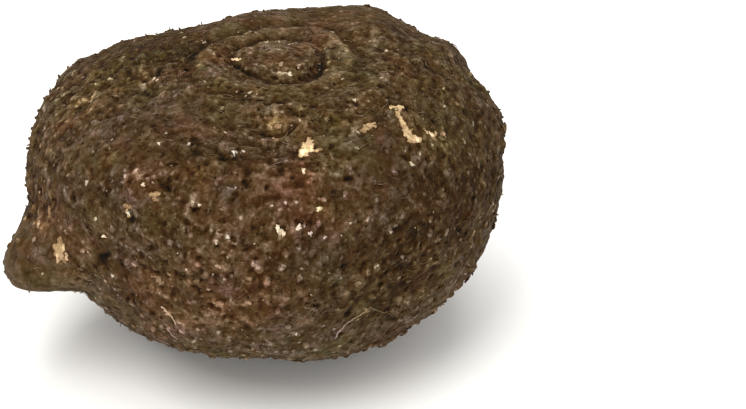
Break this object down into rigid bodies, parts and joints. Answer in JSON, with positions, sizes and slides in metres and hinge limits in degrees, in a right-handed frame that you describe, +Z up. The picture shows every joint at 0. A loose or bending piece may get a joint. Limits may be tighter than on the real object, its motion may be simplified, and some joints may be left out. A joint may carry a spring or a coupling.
{
  "type": "elephant foot yam",
  "caption": "Whole elephant foot yam corm: a squat brown tuber with a ringed bud scar on top, a side knob and a flat seat below.",
  "frame": {"origin": "middle of the corm's plan, on the surface it rests on", "axes": "+Z up through the bud scar, -Y the front with the small side bud, -X the side with the cormel knob"},
  "size_m": [0.2361, 0.2201, 0.1498],
  "materials": {
    "corm_skin": "matte, rough and earthy brown skin with root scars"
  },
  "bodies": {
    "root": {"corm": "corm_skin"}
  },
  "joints": []
}
